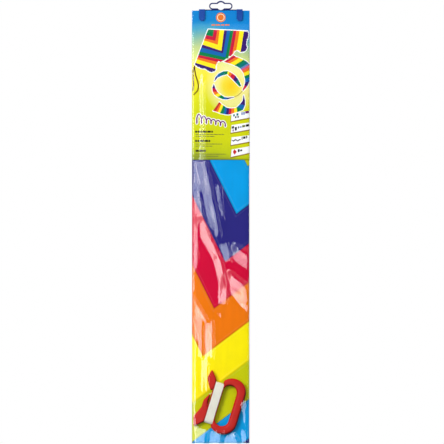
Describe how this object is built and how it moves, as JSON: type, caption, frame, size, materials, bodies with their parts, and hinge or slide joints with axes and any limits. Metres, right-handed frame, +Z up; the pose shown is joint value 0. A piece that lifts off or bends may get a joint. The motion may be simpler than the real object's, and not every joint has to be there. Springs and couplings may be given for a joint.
{
  "type": "packed delta kite",
  "caption": "Folded single-line delta kite in a clear hanging sleeve with a header card, a clip-on hanger with a euro slot, and a D-handled line winder.",
  "frame": {"origin": "centre of the hanger's euro slot, in the middle of the plastic's thickness", "axes": "+Z up the hanging pack, +X across it to the right as seen from the front, the front faces -Y"},
  "size_m": [0.0864, 0.0202, 0.6689],
  "materials": {
    "hanger_plastic": "moulded, slightly translucent",
    "clear_film": "clear, glossy, slightly wrinkled",
    "printed_card": "gloss print",
    "sail_cloth": "printed ripstop",
    "coated_patch": "coated",
    "keel_cloth": "ripstop",
    "eyelet_metal": "plated",
    "ribbon": "soft ribbon",
    "spar_rod": "glass-fibre rod",
    "vinyl": "soft vinyl",
    "winder_plastic": "moulded, satin gloss",
    "line_yarn": "braided"
  },
  "bodies": {
    "pack": {"hanger_strip": "hanger_plastic", "sleeve_front": "clear_film", "sleeve_back": "clear_film", "header_card": "printed_card"},
    "leg_left": {"hanger_leg_left": "hanger_plastic"},
    "leg_right": {"hanger_leg_right": "hanger_plastic"},
    "sail": {"sail_front_wrap": "sail_cloth", "sail_back_wrap": "sail_cloth", "sail_inner_folds_left": "sail_cloth", "sail_inner_folds_right": "sail_cloth", "nose_patch": "coated_patch", "keel": "keel_cloth", "tow_eyelet": "eyelet_metal", "tail_streamer": "ribbon"},
    "spine": {"spine_spar": "spar_rod", "spine_caps": "vinyl"},
    "edge_left": {"edge_spar_left": "spar_rod", "edge_caps_left": "vinyl", "spreader_socket_left": "vinyl"},
    "edge_right": {"edge_spar_right": "spar_rod", "edge_caps_right": "vinyl", "spreader_socket_right": "vinyl"},
    "cross": {"cross_spar": "spar_rod", "cross_caps": "vinyl"},
    "winder": {"winder_frame": "winder_plastic", "flying_line": "line_yarn"}
  },
  "joints": [
    {"name": "leg_left_hinge", "type": "hinge", "parent": "pack", "child": "leg_left", "pos_m": [-0.0285, -0.00068, -0.00505], "axis": [-1, 0, 0], "range_deg": [0, 170]},
    {"name": "leg_right_hinge", "type": "hinge", "parent": "pack", "child": "leg_right", "pos_m": [0.0285, -0.00068, -0.00505], "axis": [-1, 0, 0], "range_deg": [0, 170]},
    {"name": "sail_slide", "type": "slide", "parent": "pack", "child": "sail", "axis": [0, 0, -1], "range_m": [0, 0.62]},
    {"name": "spine_slide", "type": "slide", "parent": "sail", "child": "spine", "axis": [0, 0, -1], "range_m": [0, 0.61]},
    {"name": "edge_left_slide", "type": "slide", "parent": "sail", "child": "edge_left", "axis": [0, 0, -1], "range_m": [0, 0.49]},
    {"name": "edge_right_slide", "type": "slide", "parent": "sail", "child": "edge_right", "axis": [0, 0, -1], "range_m": [0, 0.49]},
    {"name": "cross_slide", "type": "slide", "parent": "sail", "child": "cross", "axis": [0, 0, -1], "range_m": [0, 0.39]},
    {"name": "winder_slide", "type": "slide", "parent": "pack", "child": "winder", "axis": [0, 0, -1], "range_m": [0, 0.115]}
  ]
}
